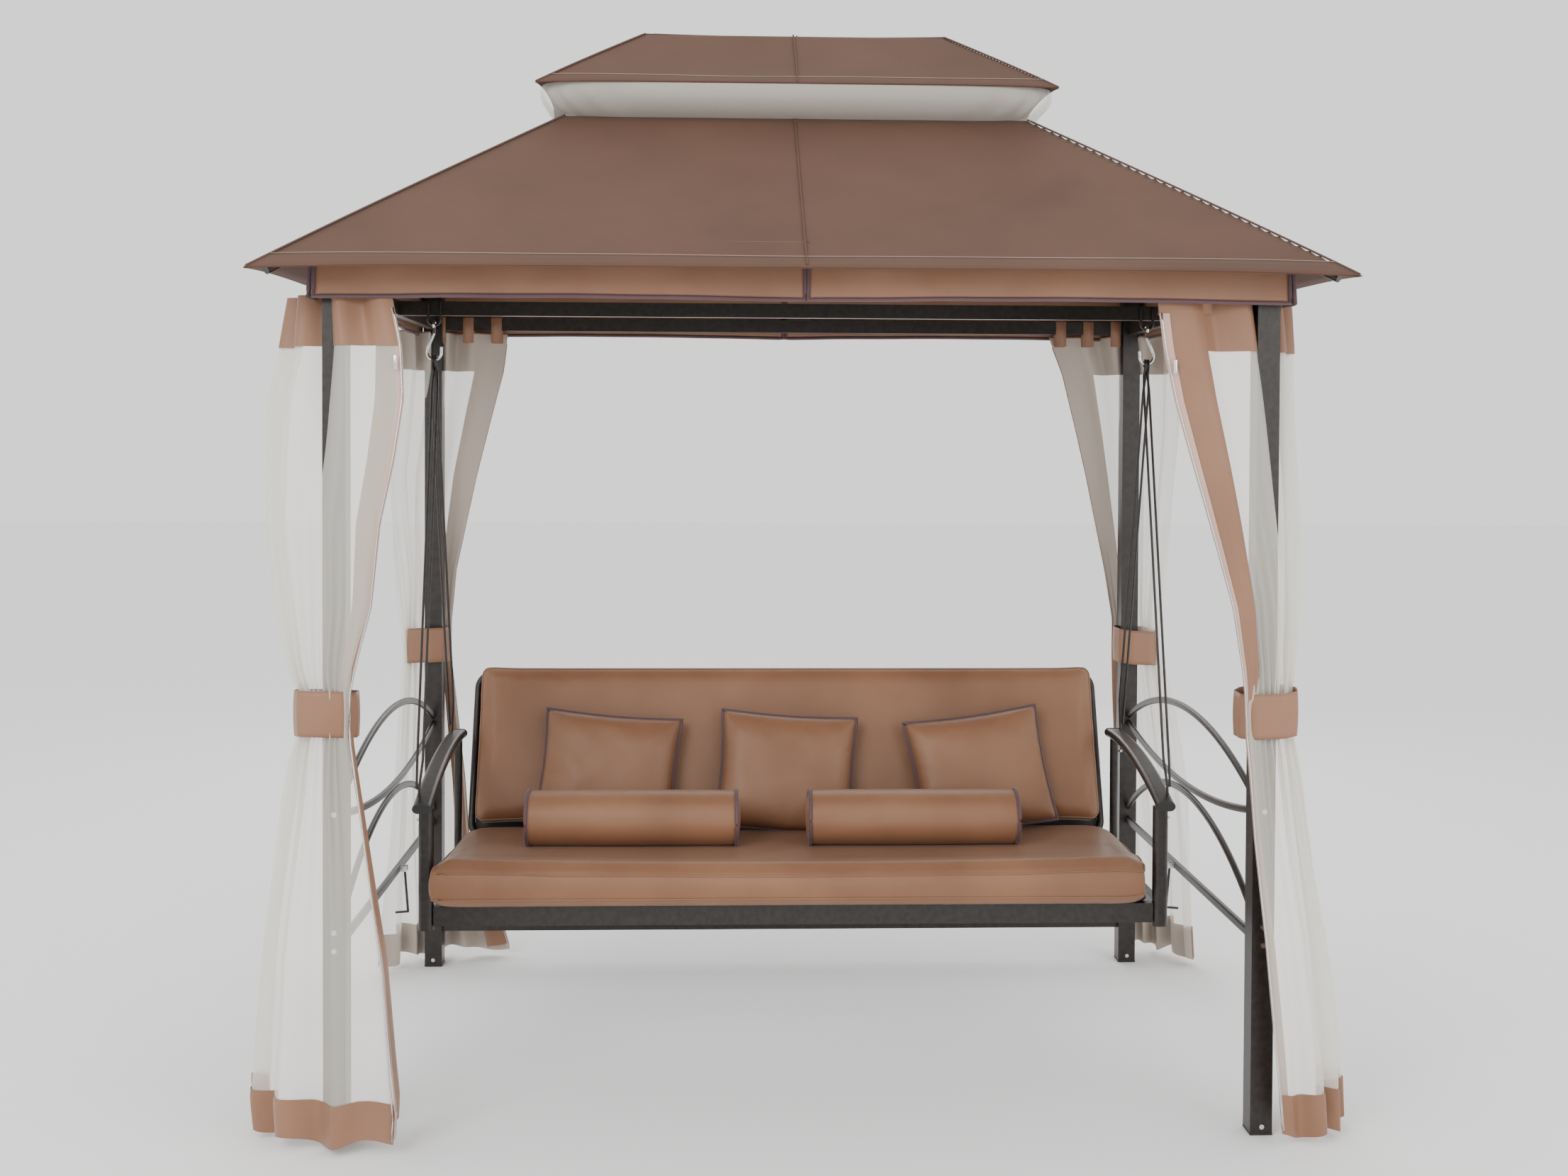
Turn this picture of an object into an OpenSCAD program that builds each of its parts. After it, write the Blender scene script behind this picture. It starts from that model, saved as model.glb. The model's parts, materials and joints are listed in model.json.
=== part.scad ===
// Three-seat hanging garden swing with a two-tier canopy, valances and net curtains.
// Origin: on the ground under the middle of the four posts. +X to the right, +Y to the back, +Z up.

/* [Posts and beams] */
// Distance between post centres, side to side
post_spacing_x = 2260; // [2000:10:2800]
// Distance between post centres, front to back
post_spacing_y = 1340; // [1200:10:1700]
// Width of the square posts
post_w = 55; // [40:1:70]
// Top of the beams above the ground
beam_top = 2096; // [2000:2:2400]
// Height of the top beams
beam_h = 40; // [30:1:50]
// Thickness of the top beams
beam_t = 25; // [20:1:30]
// Height of the rear lower rail's centre
lower_rail_z = 125; // [100:1:300]

/* [Canopy] */
// Overhang of the eaves past the post centres
eave_overhang = 172; // [140:1:220]
// Height of the eaves
eave_z = 2101; // [2000:1:2500]
// Rise of the lower roof per unit of run
roof_slope = 0.72; // [0.6:0.01:0.85]
// Half depth of the opening at the top of the lower roof
vent_half_y = 172; // [120:1:240]
// Overhang of the upper roof past the vent opening
upper_overhang = 72; // [40:1:110]
// Height of the upper eaves above the vent opening
upper_lift = 78; // [60:1:120]
// Thickness of the canopy solids
cloth_t = 5; // [3:0.5:8]
// Height of the valances
valance_h = 140; // [100:1:180]

/* [Side panels] */
// Height of the side rails
side_rail_z = 470; // [440:1:500]
// Height of the bent side bars' section
bar_h = 20; // [14:1:24]
// Thickness of the bent side bars
bar_t = 15; // [10:1:20]

/* [Hanging gear] */
// Distance from the middle to each hanging point
hang_x = 1019; // [1012:1:1030]
// Place of the hanging points behind the middle
hang_y = 30; // [0:1:50]
// Diameter of the hanger loop rod
loop_d = 8; // [6:1:10]
// Height of the loop rod's lowest point, at its centre
loop_z = 2028; // [2000:1:2034]
// Diameter of the hook wire
hook_d = 8; // [6:1:9]
// Length of the hook, from the loop rod to the hanging links
hook_l = 98; // [80:1:120]
// Diameter of the link rods
link_d = 7; // [6:1:8]

/* [Bench] */
// Place of the bench's middle, which puts its weight under the hanging points
bench_y = -27; // [-60:1:0]
// Distance from the middle to each armrest
arm_x = 988; // [984:1:996]
// Half of the distance between front and rear armrest posts
arm_half_y = 263; // [240:1:290]
// Height of the bench rails' centre
rail_z = 437; // [425:1:445]
// Height of the bench rails
rail_h = 52; // [40:1:56]
// Thickness of the bench rails
rail_t = 25; // [20:1:28]
// Half width of the seat and back frames
deck_half_x = 945; // [900:1:948]
// Diameter of the seat and back frame tubes
deck_d = 22; // [18:1:24]
// Half width of the seat cushion
cushion_half_x = 955; // [900:1:958]
// Length of the back frame, from its hinge to its top
back_l = 520; // [450:5:560]
// Lean of the back from upright
back_lean = 20; // [15:1:30]
// Thickness of the back cushion
back_cushion_t = 100; // [60:1:110]
// Side of the square pillows
pillow_w = 400; // [300:10:440]
// Diameter of the bolsters
bolster_d = 150; // [110:1:170]
// Length of the bolsters
bolster_l = 590; // [400:10:640]

/* [Hidden] */
$fn = 48;

// Clearances
weld_gap = 0.4;
soft_gap = 3;
pin_gap = 0.05;

// Colours
bronze = "#3e3632";
zinc = "#c8cdcd";
black = "#1c1c1c";
roof_brown = "#80624f";
satin_brown = "#a57d62";
net_cream = "#eee8dc";

// Posts and roof
px = post_spacing_x / 2;
py = post_spacing_y / 2;
foot_t = 6;
eave_x = px + eave_overhang;
eave_y = py + eave_overhang;
roof_run = eave_y - vent_half_y;
vent_half_x = eave_x - roof_run;
vent_z = eave_z + roof_slope * roof_run;
pole_out = eave_overhang - 40;
pole_in = eave_overhang + 16 - roof_run;
function hip_z(out) = eave_z + roof_slope * (eave_overhang - out) - pole_drop;
up_x = vent_half_x + upper_overhang;
up_y = vent_half_y + upper_overhang;
up_z = vent_z + upper_lift;
ridge_half = up_x - up_y - 36;
ridge_z = up_z + roof_slope * up_y + 10;
pole_d = 25;
pole_drop = 34;
post_top = eave_z + roof_slope * eave_overhang - pole_drop - pole_d / 2 - 4;
mid_z = beam_top - beam_h / 2;
valance_off = 46;
valance_top = eave_z + roof_slope * (eave_overhang - valance_off) - cloth_t - 6;

// Side bars: a high arch, a shallow valley and a low arch between the posts
bar_span = py - post_w / 2 - weld_gap;
arch_top_z = side_rail_z + 474;
arch_rise = 130;
valley_z = side_rail_z + 254;
valley_sag = 66;
low_arch_z = valley_z - bar_h - 1.5;
low_arch_rise = 188;

// Hanging gear
hook_z = loop_z - hook_l;
loop_r = 17;
j_r = 20;
eye_r = 9.4;
link_eye_r = 10.4;
link_side = 4.1;
link_spread = 7.5;
link_x = arm_x + 15;
hanger_y = hang_y + beam_t / 2 + loop_d / 2 + weld_gap;

// Bench
arm_w = 50;
arm_t = 25;
arm_peak_y = 230;
arm_z = 825;
arm_front_y = -arm_half_y - 34;
arm_rear_y = arm_half_y + 22;
arm_front_z = 732;
arm_drop = arm_z - arm_front_z;
arm_run = arm_peak_y - arm_front_y;
arm_r = (arm_run * arm_run + arm_drop * arm_drop) / (2 * arm_drop);
arm_post_w = 41;
arm_post_t = 28;
rear_post_d = 24;
arm_post_bottom = rail_z - rail_h / 2 - 12;
rail_top = rail_z + rail_h / 2;
deck_z = rail_top + deck_d / 2 + weld_gap;
deck_front = -arm_half_y - 8;
deck_rear = arm_half_y - 55;
deck_r = 45;
seat_low = deck_z + deck_d / 2 + 0.6;
seat_top = 572;
seat_front = -345;
seat_nose_low = 464;
seat_nose_top = 602;
seat_rear = arm_half_y - 30;
hinge_y = arm_half_y - 20;
hinge_z = 496;
hinge_pin_d = 10;
hinge_x = deck_half_x - 70;
link_nut_d = 13;
back_pad = deck_d / 2 + soft_gap;
back_cushion_low = 50;
back_cushion_top = back_l + 16;

// Lock rods
rod_d = 7;
rod_l = 125;
rod_bend = 36;
rod_rest = 4.5;
rod_y = 68;
rod_x = px - bar_t / 2 - 12;

function arm_at(y) = arm_z - arm_r + sqrt(arm_r * arm_r - (y - arm_peak_y) * (y - arm_peak_y));

// A round bar between two points
module rod(a, b, d) {
    v = b - a;
    l = norm(v);
    translate(a) rotate([0, acos(v[2] / l), atan2(v[1], v[0])]) cylinder(h = l, d = d);
}

function unit(v) = v / norm(v);

// A rod of diameter d bent along a list of points
module bent_rod(path, d, sides = 12) {
    n = len(path);
    t = [for (i = [0 : n - 1]) unit(path[min(i + 1, n - 1)] - path[max(i - 1, 0)])];
    start = abs(t[0][0]) < 0.9 ? [1, 0, 0] : [0, 1, 0];
    u = [for (i = 0, w = unit(start - (start * t[0]) * t[0]); i < n;
        i = i + 1, w = i < n ? unit(w - (w * t[i]) * t[i]) : w) w];
    points = [for (i = [0 : n - 1], k = [0 : sides - 1])
        path[i] + d / 2 * (cos(360 * k / sides) * u[i] + sin(360 * k / sides) * cross(t[i], u[i]))];
    walls = [for (i = [0 : n - 2], k = [0 : sides - 1], half = [0, 1]) let (j = (k + 1) % sides)
        half == 0 ? [i * sides + k, (i + 1) * sides + j, i * sides + j]
                  : [i * sides + k, (i + 1) * sides + k, (i + 1) * sides + j]];
    first = [for (k = [0 : sides - 1]) k];
    last = [for (k = [sides - 1 : -1 : 0]) (n - 1) * sides + k];
    polyhedron(points = points, faces = concat([first], walls, [last]));
}

module box(c, s) { translate(c) cube(s, center = true); }

// Flat-oval outline, w wide and t thick
module oval(w, t) {
    union() {
        square([w - t, t], center = true);
        for (s = [-1, 1]) translate([s * (w - t) / 2, 0]) circle(d = t);
    }
}

module mirrored_x() { children(); mirror([1, 0, 0]) children(); }
module side(s) { if (s > 0) children(); else mirror([1, 0, 0]) children(); }

// ---- Frame ----

module post(sx, sy) {
    color(bronze) difference() {
        box([sx * px, sy * py, (post_top + foot_t) / 2], [post_w, post_w, post_top - foot_t]);
        translate([sx * px, sy * py, 16 + foot_t]) rotate([90, 0, 0])
            cylinder(h = post_w + 2, d = 7, center = true);
        hip_pole(sx, sy, pole_d + 2 * weld_gap);
    }
}

module front_left_post() { post(-1, -1); }
module front_right_post() { post(1, -1); }
module rear_left_post() { post(-1, 1); }
module rear_right_post() { post(1, 1); }

module post_feet() {
    color(black) for (sx = [-1, 1], sy = [-1, 1])
        box([sx * px, sy * py, foot_t / 2], [post_w + 1, post_w + 1, foot_t]);
}

module long_beam(sy) {
    color(bronze) box([0, sy * py, mid_z],
        [post_spacing_x - post_w - 2 * weld_gap, beam_t, beam_h]);
}

module side_beam(sx) {
    color(bronze) box([sx * px, 0, mid_z],
        [beam_t, post_spacing_y - post_w - 2 * weld_gap, beam_h]);
}

module front_top_beam() { long_beam(-1); }
module rear_top_beam() { long_beam(1); }
module left_top_beam() { side_beam(-1); }
module right_top_beam() { side_beam(1); }

module hanger_beam() {
    color(bronze) box([0, hanger_y, mid_z],
        [post_spacing_x - beam_t - 2 * weld_gap, beam_t, beam_h]);
}

module hanger_loop(s) {
    top = mid_z + beam_h / 2 - 6;
    color(bronze) side(s) translate([hang_x, hang_y, loop_z + loop_r]) union() {
        rotate([90, 0, 0]) rotate([0, 0, 180]) rotate_extrude(angle = 180) translate([loop_r, 0])
            circle(d = loop_d);
        for (k = [-1, 1]) translate([k * loop_r, 0, 0]) cylinder(h = top - loop_z - loop_r, d = loop_d);
    }
}

module left_hanger_loop() { hanger_loop(-1); }
module right_hanger_loop() { hanger_loop(1); }

module rear_lower_rail() {
    color(bronze) box([0, py, lower_rail_z], [post_spacing_x - post_w - 2 * weld_gap, beam_t, 28]);
}

// Arc bar in the plane of a side panel: rise is positive for an arch, negative for a valley
module arc_bar(mid_height, rise) {
    reach = bar_span - bar_h / 4;
    r = (reach * reach + rise * rise) / (2 * abs(rise));
    half = asin(reach / r);
    translate([0, 0, mid_height - sign(rise) * r]) rotate([90, 0, 90])
        rotate([0, 0, (rise > 0 ? 90 : 270) - half]) rotate_extrude(angle = 2 * half, $fn = 180)
        translate([r, 0]) oval(bar_h, bar_t);
}

module side_bars(s) {
    color(bronze) side(s) translate([px, 0, 0]) {
        arc_bar(arch_top_z, arch_rise);
        arc_bar(valley_z, -valley_sag);
        arc_bar(low_arch_z, low_arch_rise);
    }
}

module left_side_bars() { side_bars(-1); }
module right_side_bars() { side_bars(1); }

module side_rail(s) {
    color(bronze) side(s) difference() {
        translate([px, 0, side_rail_z]) rotate([90, 0, 0])
            linear_extrude(height = 2 * bar_span, center = true) rotate(90) oval(bar_h + 6, bar_t);
        translate([px, rod_y, side_rail_z]) rotate([0, 90, 0])
            cylinder(h = 60, d = rod_d + 0.6, center = true);
    }
}

module left_side_rail() { side_rail(-1); }
module right_side_rail() { side_rail(1); }

// ---- Roof ----

module hip_pole(sx, sy, d) {
    rod([sx * (px + pole_out), sy * (py + pole_out), hip_z(pole_out)],
        [sx * (px + pole_in), sy * (py + pole_in), hip_z(pole_in)], d);
}

module hip_poles() {
    color(bronze) for (sx = [-1, 1], sy = [-1, 1]) hip_pole(sx, sy, pole_d);
}

ring_z = vent_z - cloth_t - 18;
ring_x = vent_half_x - 26;
ring_y = vent_half_y - 26;

module vent_ring() {
    color(bronze) {
        for (s = [-1, 1]) box([0, s * ring_y, ring_z], [2 * ring_x - 24, 20, 20]);
        for (s = [-1, 1]) box([s * ring_x, 0, ring_z], [20, 2 * ring_y + 20, 20]);
    }
}

module upper_hip_poles() {
    color(bronze) for (sx = [-1, 1], sy = [-1, 1])
        rod([sx * (ring_x - 2), sy * (ring_y - 2), ring_z + 18],
            [sx * (ridge_half + 12), sy * 16, ridge_z - 46], 16);
}

module ridge_pole() {
    color(bronze) translate([0, 0, ridge_z - 30]) rotate([0, 90, 0])
        cylinder(h = 2 * ridge_half, d = 18, center = true);
}

// Solid under a four-sided roof face set, from a base rectangle to a top rectangle
module frustum(bx, by, bz, tx, ty, tz) {
    polyhedron(points = [[-bx, -by, bz], [bx, -by, bz], [bx, by, bz], [-bx, by, bz],
            [-tx, -ty, tz], [tx, -ty, tz], [tx, ty, tz], [-tx, ty, tz]],
        faces = [[0, 1, 2, 3], [4, 7, 6, 5], [0, 4, 5, 1], [1, 5, 6, 2], [2, 6, 7, 3], [3, 7, 4, 0]]);
}

// Cloth shell of a hip roof, open below and cut off at the top opening
module roof_shell(bx, by, bz, tx, ty, tz, t) {
    k = t * sqrt(1 + roof_slope * roof_slope);
    difference() {
        frustum(bx, by, bz, tx, ty, tz);
        run = by - ty;
        e = 4;
        slope = (tz - bz) / run;
        frustum(bx + e, by + e, bz - k - slope * e, tx - e, ty - e, tz - k + slope * e);
        box([0, 0, bz - 50], [2 * bx + 100, 2 * by + 100, 100 - 0.02]);
    }
}

module lower_canopy() {
    color(roof_brown) difference() {
        roof_shell(eave_x, eave_y, eave_z, vent_half_x, vent_half_y, vent_z, cloth_t);
        box([0, 0, vent_z], [2 * vent_half_x - 16, 2 * vent_half_y - 16, 80]);
    }
}

module vent_mesh() {
    low = vent_z + soft_gap / 2;
    high = up_z - 2;
    grow = 44;
    color(net_cream) difference() {
        frustum(vent_half_x, vent_half_y, low, vent_half_x + grow, vent_half_y + grow, high);
        frustum(vent_half_x - 4.2, vent_half_y - 4.2, low - 1, vent_half_x + grow - 3,
            vent_half_y + grow - 3, high + 1);
    }
}

module upper_canopy() {
    k = cloth_t * 1.3;
    color(roof_brown) difference() {
        frustum(up_x, up_y, up_z, ridge_half, 0.5, ridge_z);
        frustum(up_x - 8, up_y - 8, up_z - 0.1, ridge_half, 0.3, ridge_z - k);
    }
}

module long_valance(s) {
    color(satin_brown) difference() {
        box([0, s * (py + valance_off), valance_top - valance_h / 2],
            [2 * (px + valance_off) - 10, 4, valance_h]);
        for (sx = [-1, 1]) hip_pole(sx, s, pole_d + 2 * weld_gap);
    }
}

module short_valance(s) {
    color(satin_brown) difference() {
        box([s * (px + valance_off), 0, valance_top - valance_h / 2],
            [4, 2 * (py + valance_off) + 4, valance_h]);
        for (sy = [-1, 1]) hip_pole(s, sy, pole_d + 2 * weld_gap);
    }
}

module front_valance() { long_valance(-1); }
module rear_valance() { long_valance(1); }
module left_valance() { short_valance(-1); }
module right_valance() { short_valance(1); }

// ---- Curtains: gathered round each post, narrow at the tie and spread at the hem ----

tie_z = 1040;
tie_h = 110;
curtain_top = mid_z - beam_h / 2 - 20;
hem_z = 22;
post_clear = 12;
low_rail_reach = 320;

// Each level: height, reach inwards, reach outwards, half depth
front_left_levels = [[curtain_top, 150, 120, 60], [1800, 175, 170, 75], [1600, 145, 190, 85],
    [tie_z + 80, 44, 98, 48], [tie_z - 80, 44, 98, 48], [700, 90, 160, 74], [400, 135, 215, 94],
    [hem_z, 160, 240, 116]];
front_right_levels = [[curtain_top, 270, 95, 60], [1750, 220, 102, 75], [1500, 152, 102, 85],
    [tie_z + 80, 58, 86, 48], [tie_z - 80, 54, 90, 48], [740, 44, 132, 70], [490, 42, 175, 88],
    [hem_z, 40, 222, 112]];
rear_left_levels = [[curtain_top, 228, 86, 60], [1790, 178, 100, 68], [1590, 128, 114, 72],
    [tie_z + 80, 46, 90, 48], [tie_z - 80, 44, 88, 48], [600, 92, 106, 76], [380, 100, 118, 86],
    [hem_z, 236, 138, 104]];
rear_right_levels = [[curtain_top, 258, 114, 60], [1750, 166, 108, 68], [1590, 128, 100, 72],
    [tie_z + 80, 44, 86, 48], [tie_z - 80, 44, 94, 48], [600, 42, 160, 80], [hem_z, 40, 206, 104]];

module level(l) {
    translate([(l[2] - l[1]) / 2, 0, l[0]]) linear_extrude(height = 0.5)
        offset(r = 30, $fn = 24) square([l[1] + l[2] - 60, 2 * l[3] - 60], center = true);
}

module curtain(sx, sy, levels) {
    color(net_cream) side(sx) translate([px, sy * py, 0]) difference() {
        for (i = [0 : len(levels) - 2]) hull() {
            level(levels[i]);
            level(levels[i + 1]);
        }
        box([0, 0, post_top / 2], [post_w + post_clear, post_w + post_clear, post_top + 10]);
        box([0, -sy * 100, (side_rail_z + arch_top_z) / 2],
            [bar_t + 10, 200, arch_top_z - side_rail_z + 80]);
        box([-low_rail_reach / 2, sy * 14, lower_rail_z], [low_rail_reach, 60, 50]);
    }
}

module front_left_curtain() { curtain(-1, -1, front_left_levels); }
module front_right_curtain() { curtain(1, -1, front_right_levels); }
module rear_left_curtain() { curtain(-1, 1, rear_left_levels); }
module rear_right_curtain() { curtain(1, 1, rear_right_levels); }

tie_w = 158;
tie_d = 96;
tie_gap = 1.5;
tie_t = 4.5;

module tie_ring(grow) {
    offset(r = 30 + grow, $fn = 24) square([tie_w - 60, tie_d - 60], center = true);
}

module curtain_ties() {
    color(satin_brown) for (sx = [-1, 1], sy = [-1, 1])
        side(sx) translate([px + 20, sy * py, tie_z - tie_h / 2]) linear_extrude(height = tie_h)
            difference() {
                tie_ring(tie_gap + tie_t);
                tie_ring(tie_gap);
            }
}

// ---- Fasteners on the frame ----

module frame_bolts() {
    color(zinc) {
        for (sx = [-1, 1], sy = [-1, 1]) translate([sx * px, sy * py - post_w / 2, 16 + foot_t])
            rotate([90, 0, 0]) cylinder(h = 5, d = 12);
        for (sx = [-1, 1], sy = [-1, 1], z = [side_rail_z, 800, low_arch_z - low_arch_rise])
            translate([sx * px, sy * (py + post_w / 2), z]) rotate([-sy * 90, 0, 0]) cylinder(h = 4, d = 13);
    }
}

lug_reach = 20;
lug_h = 16;
lug_t = 3;
lug_gap = 12;

// A pin along Y between two lugs on the side rail's inner face
module lock_rod_bolts() {
    rail_face = px - bar_t / 2;
    color(zinc) mirrored_x() translate([0, rod_y, side_rail_z]) union() {
        for (k = [-1, 1]) box([rail_face - weld_gap - lug_reach / 2, k * (lug_gap + lug_t) / 2, 0],
            [lug_reach, lug_t, lug_h]);
        translate([rod_x, 0, 0]) rotate([90, 0, 0])
            cylinder(h = lug_gap + 2 * lug_t + 4, d = rod_d, center = true);
    }
}

// ---- Hooks ----

// An eye closed round the loop rod, a leaning shank, and an open bend below
module hook(s) {
    eye = [for (a = [220 : -22.5 : -50]) [0, eye_r * cos(a), loop_z + eye_r * sin(a)]];
    bend = [for (a = [0 : -19 : -190]) [j_r * cos(a), 0, hook_z + j_r + j_r * sin(a)]];
    color(zinc) side(s) translate([hang_x, hang_y, 0]) bent_rod(concat(eye,
        [[1, 0.5, loop_z - eye_r - 14], [j_r - 0.6, 0, hook_z + j_r + 10]], bend,
        [[-j_r - 0.6, 0, hook_z + j_r + 16]]), hook_d);
}

module left_hook() { hook(-1); }
module right_hook() { hook(1); }

// ---- Lock rods: L-shaped, hung from the side rails ----

module lock_rod(s) {
    color(black) side(s) translate([rod_x, rod_y, side_rail_z]) rotate([0, rod_rest, 0]) union() {
        difference() {
            rotate([90, 0, 0]) cylinder(h = rod_d, d = rod_d + 11, center = true);
            rotate([90, 0, 0]) cylinder(h = 20, d = rod_d + 2 * pin_gap, center = true);
        }
        rod([0, 0, -rod_d], [0, 0, -rod_l], rod_d);
        translate([0, 0, -rod_l]) sphere(d = rod_d);
        rod([0, 0, -rod_l], [rod_bend, 0, -rod_l], rod_d);
    }
}

module left_lock_rod() { lock_rod(-1); }
module right_lock_rod() { lock_rod(1); }

// ---- Links from the hooks to the armrests ----

// A hairpin: up from the armrest, over the hook and down again beside itself
module link(s, sy) {
    top = [hang_x + sy * link_side, hang_y, hook_z];
    low_y = bench_y + sy * arm_half_y;
    low = [link_x, low_y, arm_at(sy * arm_half_y) + arm_t / 2 + 24];
    v = unit(low - top);
    over = [for (a = [200 : -22 : -20]) top + [0, link_eye_r * cos(a), link_eye_r * sin(a)]];
    up = [low + v * 6 - [0, 0, arm_t + 34], low + [0, 0, -20], low + [-0.8, 0, 0],
        low - v * 70 - [link_spread, 0, 0], top + v * 80 - [link_spread, 0, 0], top + v * 34 - [4, sy * 4, 0]];
    down = [top + v * 34 + [4, sy * 4, 0], top + v * 80 + [link_spread, 0, 0],
        low - v * 70 + [link_spread, 0, 0], low + [link_d - 0.4, 0, -6]];
    color(bronze) side(s) bent_rod(concat(up, sy < 0 ? over : [for (i = [len(over) - 1 : -1 : 0]) over[i]],
        down), link_d);
}

module left_front_link() { link(-1, -1); }
module left_rear_link() { link(-1, 1); }
module right_front_link() { link(1, -1); }
module right_rear_link() { link(1, 1); }

// ---- Bench: every piece from here on is placed from the bench's middle ----

module on_bench() { translate([0, bench_y, 0]) children(); }

module arm(s) {
    front_angle = asin((arm_peak_y - arm_front_y) / arm_r);
    rear_angle = asin((arm_rear_y - arm_peak_y) / arm_r);
    color(bronze) on_bench() side(s) difference() {
        translate([arm_x, arm_peak_y, arm_z - arm_r]) rotate([90, 0, 90])
            rotate([0, 0, 90 - rear_angle]) rotate_extrude(angle = front_angle + rear_angle, $fn = 180)
            translate([arm_r, 0]) rotate(90) oval(arm_w, arm_t);
        for (sy = [-1, 1]) translate([link_x, sy * arm_half_y, arm_at(sy * arm_half_y)])
            cylinder(h = 90, d = link_d + 2, center = true);
    }
}

module left_arm() { arm(-1); }
module right_arm() { arm(1); }

module arm_end_caps() {
    slope = asin((arm_peak_y - arm_front_y) / arm_r);
    color(black) on_bench() mirrored_x() {
        translate([arm_x, arm_front_y, arm_front_z]) rotate([90 + slope, 0, 0])
            translate([0, 0, weld_gap]) linear_extrude(height = 8) oval(arm_w + 2, arm_t + 2);
        translate([arm_x, arm_rear_y, arm_at(arm_rear_y)]) rotate([-90, 0, 0])
            translate([0, 0, 2]) linear_extrude(height = 8) oval(arm_w + 2, arm_t + 2);
    }
}

module arm_posts() {
    front_top = arm_at(-arm_half_y) - arm_t / 2 - 8;
    rear_top = arm_at(arm_half_y) - arm_t / 2 - 3;
    color(bronze) on_bench() mirrored_x() {
        difference() {
            translate([arm_x - 4, -arm_half_y, arm_post_bottom])
                linear_extrude(height = front_top - arm_post_bottom) oval(arm_post_w, arm_post_t);
            translate([link_x + 1, -arm_half_y, front_top - 44]) cylinder(h = 60, d = link_nut_d + 2);
        }
        translate([arm_x - 4, arm_half_y, arm_post_bottom])
            cylinder(h = rear_top - arm_post_bottom, d = rear_post_d);
    }
}

module cross_rail(y, end) {
    color(bronze) on_bench() box([0, y, rail_z], [2 * end, rail_t, rail_h]);
}

module front_rail() { cross_rail(-arm_half_y, arm_x - 4 - arm_post_w / 2 - weld_gap); }
module rear_rail() { cross_rail(arm_half_y, arm_x - 4 - rear_post_d / 2 - weld_gap); }

module bench_side_rails() {
    low = -arm_half_y + arm_post_t / 2 + weld_gap;
    high = arm_half_y - rear_post_d / 2 - weld_gap;
    color(bronze) on_bench() mirrored_x() difference() {
        box([arm_x - 4, (low + high) / 2, rail_z], [rail_t, high - low, rail_h - 4]);
        translate([arm_x - 4, rod_y - bench_y, rail_z]) cylinder(h = rail_h + 4, d = 11, center = true);
    }
}

// Nuts under the armrests, and the back's hinge lugs and pins
module bench_bolts() {
    color(zinc) on_bench() mirrored_x() {
        for (sy = [-1, 1])
            translate([link_x + 1, sy * arm_half_y, arm_at(sy * arm_half_y) - arm_t / 2 - 42])
            cylinder(h = 6, d = link_nut_d, $fn = 6);
    }
    color(bronze) on_bench() mirrored_x() {
        difference() {
            for (k = [-1, 1]) translate([hinge_x + k * 12, hinge_y, 0]) union() {
                box([0, 0, (rail_top + hinge_z) / 2 + 0.3], [4, 24, hinge_z - rail_top]);
                translate([0, 0, hinge_z]) rotate([0, 90, 0]) cylinder(h = 4, d = 24, center = true);
            }
            translate([hinge_x, hinge_y, hinge_z]) rotate([0, 90, 0])
                cylinder(h = 60, d = hinge_pin_d + 0.6, center = true);
        }
        translate([hinge_x, hinge_y, hinge_z]) rotate([0, 90, 0]) cylinder(h = 34, d = hinge_pin_d, center = true);
    }
}

// Rounded rectangle loop of tube in the XY plane, from y0 to y1
module tube_frame(half_x, y0, y1, r, d) {
    for (sx = [-1, 1]) {
        translate([sx * half_x, y0 + r, 0]) rotate([-90, 0, 0]) cylinder(h = y1 - y0 - 2 * r, d = d);
        translate([sx * (half_x - r), y0 + r, 0]) rotate([0, 0, sx > 0 ? 270 : 180])
            rotate_extrude(angle = 90) translate([r, 0]) circle(d = d);
        translate([sx * (half_x - r), y1 - r, 0]) rotate([0, 0, sx > 0 ? 0 : 90])
            rotate_extrude(angle = 90) translate([r, 0]) circle(d = d);
    }
    for (y = [y0, y1]) translate([0, y, 0]) rotate([0, 90, 0])
        cylinder(h = 2 * (half_x - r), d = d, center = true);
}

module seat_frame() {
    color(bronze) on_bench() translate([0, 0, deck_z]) tube_frame(deck_half_x, deck_front, deck_rear, deck_r, deck_d);
}

sling_r = deck_r - deck_d / 2;
sling_t = 3;
sling_slack = 10;

// A sheet with rounded corners inside a tube frame whose centre line runs from low to high
module sling(low, high) {
    w = 2 * (deck_half_x - deck_d / 2 - weld_gap);
    l = high - low - deck_d - 2 * sling_slack;
    color(black) translate([0, (low + high) / 2, -sling_t / 2]) linear_extrude(height = sling_t)
        offset(r = sling_r) square([w - 2 * sling_r, l - 2 * sling_r], center = true);
}

module seat_sling() {
    on_bench() translate([0, 0, deck_z]) sling(deck_front, deck_rear);
}

rear_press_h = 34;
rear_press_l = 76;

module seat_cushion() {
    color(satin_brown) on_bench() {
        rotate([90, 0, 90]) linear_extrude(height = 2 * cushion_half_x, center = true)
            offset(r = 24, $fn = 32) offset(delta = -24) polygon([[seat_front, seat_nose_low],
                [deck_front - 14, seat_nose_low], [deck_front - 13, seat_low], [seat_rear, seat_low],
                [seat_rear, seat_top - rear_press_h], [seat_rear - rear_press_l, seat_top],
                [seat_front + 140, seat_top + 8], [seat_front + 60, seat_nose_top],
                [seat_front, seat_nose_top - 14]]);
    }
}

bolster_x = [-447, 335];
bolster_y = -74;
bolster_rise = 8;

module bolsters() {
    color(satin_brown) on_bench() for (x = bolster_x) translate([x, bolster_y, seat_top + bolster_rise + bolster_d / 2])
        rotate([0, 90, 0]) cylinder(h = bolster_l, d = bolster_d, center = true);
}

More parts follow.
